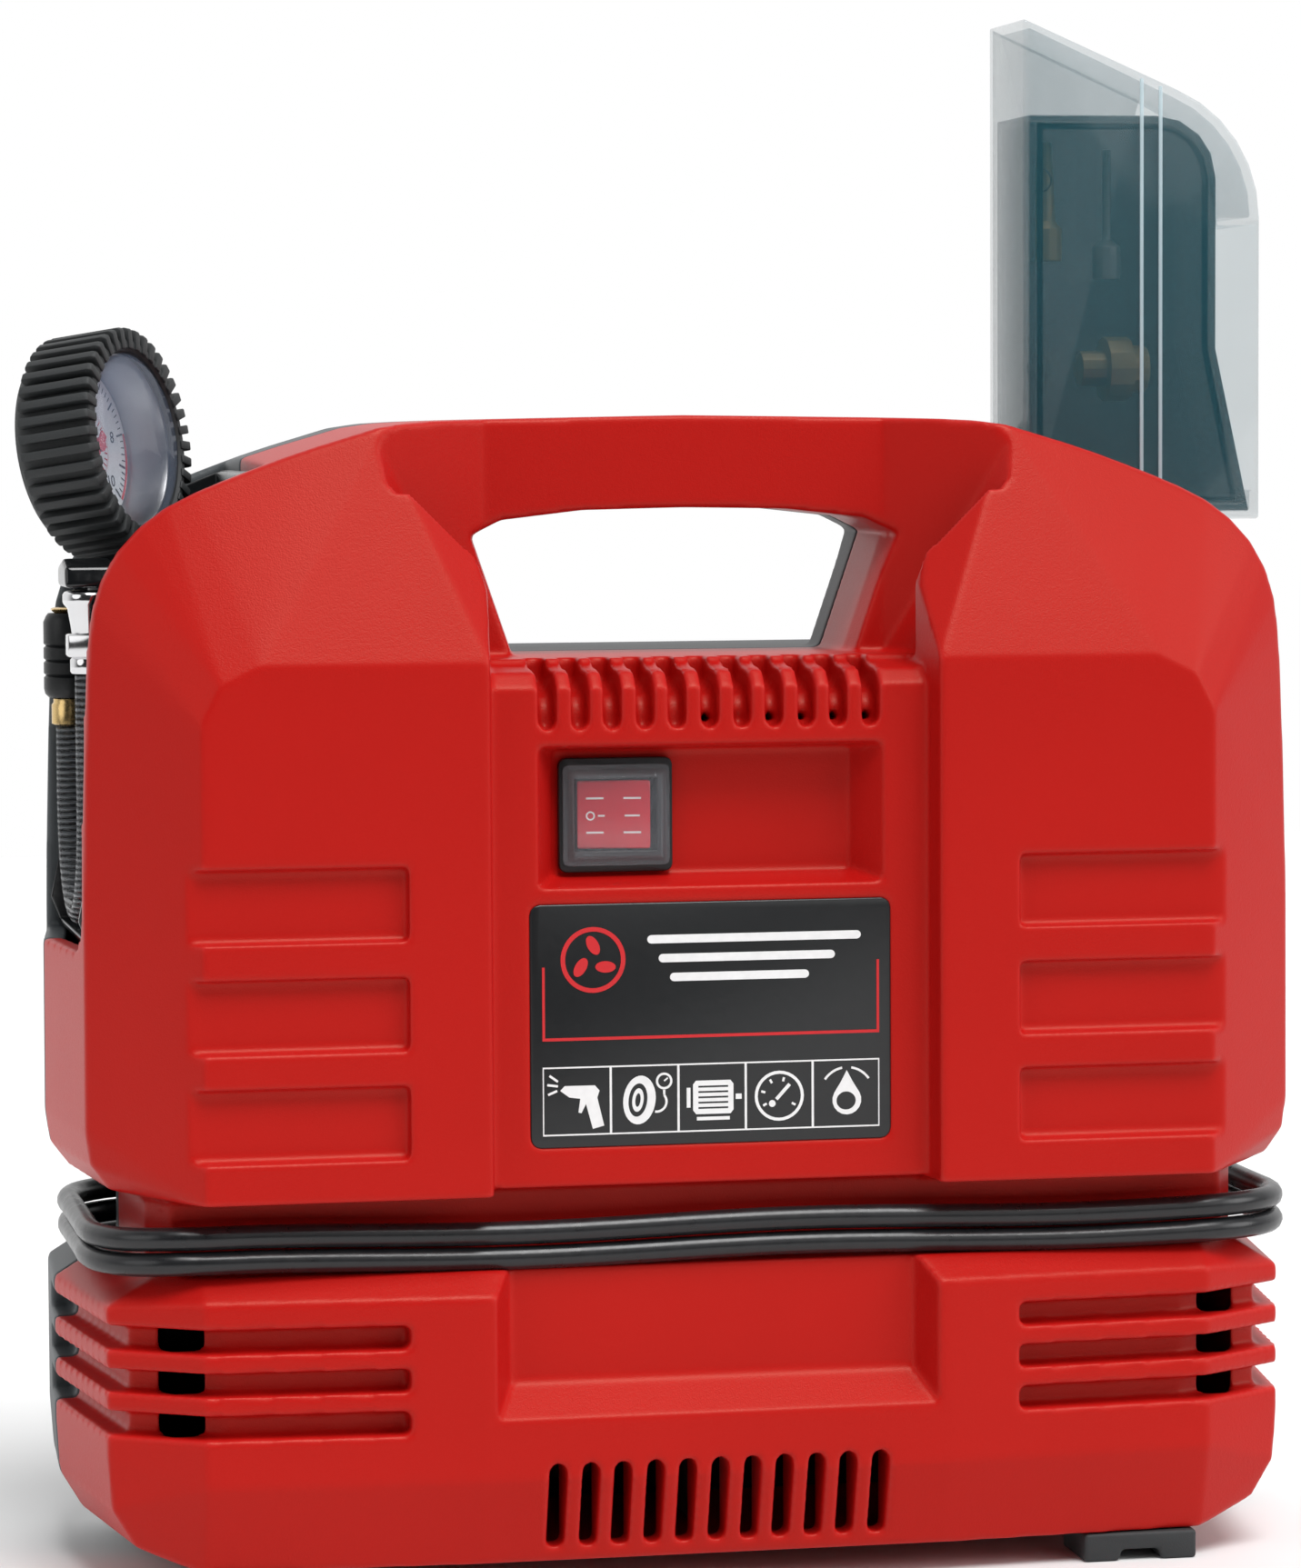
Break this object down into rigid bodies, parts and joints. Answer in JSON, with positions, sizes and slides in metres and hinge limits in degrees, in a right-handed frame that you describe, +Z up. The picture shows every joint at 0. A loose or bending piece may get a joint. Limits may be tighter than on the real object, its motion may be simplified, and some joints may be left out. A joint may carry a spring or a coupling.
{
  "type": "air compressor",
  "caption": "Portable mains air compressor: moulded two-shell body with carry handle, rocker switch, cord groove, stowed inflator gun with gauge and a sliding accessory case.",
  "frame": {"origin": "on the floor under the middle of the machine, centre of the bounding box's bottom", "axes": "+X to the right seen from the switch side, +Y towards the back, +Z up"},
  "size_m": [0.3476, 0.13, 0.415],
  "materials": {
    "red_shell": "satin moulded ABS, fine texture",
    "grey_shell": "satin moulded ABS, fine texture",
    "black_plastic": "satin",
    "black_rubber": "matt",
    "cord_sheath": "semi-gloss flexible sheath",
    "smoke_clear": "clear smoke-blue polycarbonate",
    "clear_plastic": "clear",
    "signal_red": "gloss",
    "steel": "machined",
    "chrome": "polished plate",
    "brass": "turned",
    "cast_alloy": "as cast",
    "copper_winding": "enamelled copper wire on a steel core",
    "dial_white": "printed",
    "clear_hose": "clear flexible PVC"
  },
  "bodies": {
    "housing": {"air_line": "black_rubber", "bearing_left": "steel", "bearing_right": "steel", "case_guide": "grey_shell", "cord_gland": "black_rubber", "cylinder_head": "cast_alloy", "foot_front_left": "black_rubber", "foot_front_right": "black_rubber", "foot_rear_left": "black_rubber", "foot_rear_right": "black_rubber", "front_shell": "red_shell", "housing_screw_1": "steel", "housing_screw_2": "steel", "housing_screw_3": "steel", "label_plate": "black_plastic", "mains_plug": "black_rubber", "motor_bracket_left": "cast_alloy", "motor_bracket_right": "cast_alloy", "motor_cradle_front": "black_plastic", "motor_cradle_rear": "black_plastic", "motor_stator": "copper_winding", "outlet_coupling": "brass", "plug_relief": "black_rubber", "power_cord_end": "cord_sheath", "power_cord_lead": "cord_sheath", "power_cord_winding": "cord_sheath", "pump_cylinder": "cast_alloy", "pump_frame": "cast_alloy", "rear_shell": "grey_shell", "safety_valve": "brass", "switch_bezel": "black_plastic", "switch_cap": "clear_plastic", "tool_bay_liner": "black_plastic", "valve_plate": "steel"},
    "rocker": {"rocker": "signal_red"},
    "accessory_case": {"case_cover": "smoke_clear", "case_tray": "smoke_clear", "brass_adapter": "brass", "cone_nozzle": "brass", "ball_needle": "chrome"},
    "inflator": {"inflator_body": "black_plastic", "gauge_boot": "black_rubber", "gauge_case": "steel", "gauge_dial": "dial_white", "gauge_lens": "clear_plastic", "inflator_elbow": "black_plastic", "hose_connector": "chrome", "inflator_hose": "clear_hose", "tyre_chuck": "brass"},
    "trigger": {"trigger": "chrome"},
    "bleed_button": {"bleed_button": "brass"},
    "gauge_pointer": {"gauge_needle": "signal_red"},
    "crank": {"motor_rotor": "steel", "motor_shaft": "steel", "cooling_fan": "black_plastic", "crank_disc": "steel"},
    "piston_rod": {"connecting_rod": "cast_alloy", "rod_bearing": "steel"},
    "piston": {"piston": "cast_alloy", "piston_ring": "black_plastic"}
  },
  "joints": [
    {"name": "rocker_tilt", "type": "hinge", "parent": "housing", "child": "rocker", "pos_m": [-0.0236, -0.0433, 0.2023], "axis": [0, 0, 1], "range_deg": [0, 14]},
    {"name": "case_slide", "type": "slide", "parent": "housing", "child": "accessory_case", "axis": [0, 0, 1], "range_m": [-0.124, 0.07]},
    {"name": "inflator_lift", "type": "slide", "parent": "housing", "child": "inflator", "axis": [0, 0, 1], "range_m": [0, 0.12]},
    {"name": "trigger_pull", "type": "hinge", "parent": "inflator", "child": "trigger", "pos_m": [-0.124, 0.007, 0.251], "axis": [0, 1, 0], "range_deg": [0, 8.5], "stiffness_Nm_per_rad": 1.5, "springref_deg": -5.73},
    {"name": "bleed_press", "type": "slide", "parent": "inflator", "child": "bleed_button", "axis": [0, 0, -1], "range_m": [0, 0.003], "stiffness_N_per_m": 400, "springref_m": -0.001},
    {"name": "gauge_sweep", "type": "hinge", "parent": "inflator", "child": "gauge_pointer", "pos_m": [-0.152, 0.007, 0.2995], "axis": [-0.8305, 0.5393, -0.1392], "range_deg": [0, 270], "stiffness_Nm_per_rad": 0.0004, "springref_deg": -11.46},
    {"name": "motor_spin", "type": "hinge", "parent": "housing", "child": "crank", "pos_m": [0, 0, 0.048], "axis": [1, 0, 0], "continuous": true},
    {"name": "rod_swing", "type": "hinge", "parent": "crank", "child": "piston_rod", "pos_m": [0.026, 0, 0.042], "axis": [1, 0, 0], "continuous": true},
    {"name": "piston_slide", "type": "slide", "parent": "housing", "child": "piston", "axis": [0, 0, 1], "range_m": [0, 0.012]}
  ],
  "couplings": [
    {"joint": "rod_swing", "follows": "motor_spin", "ratio": -1}
  ]
}
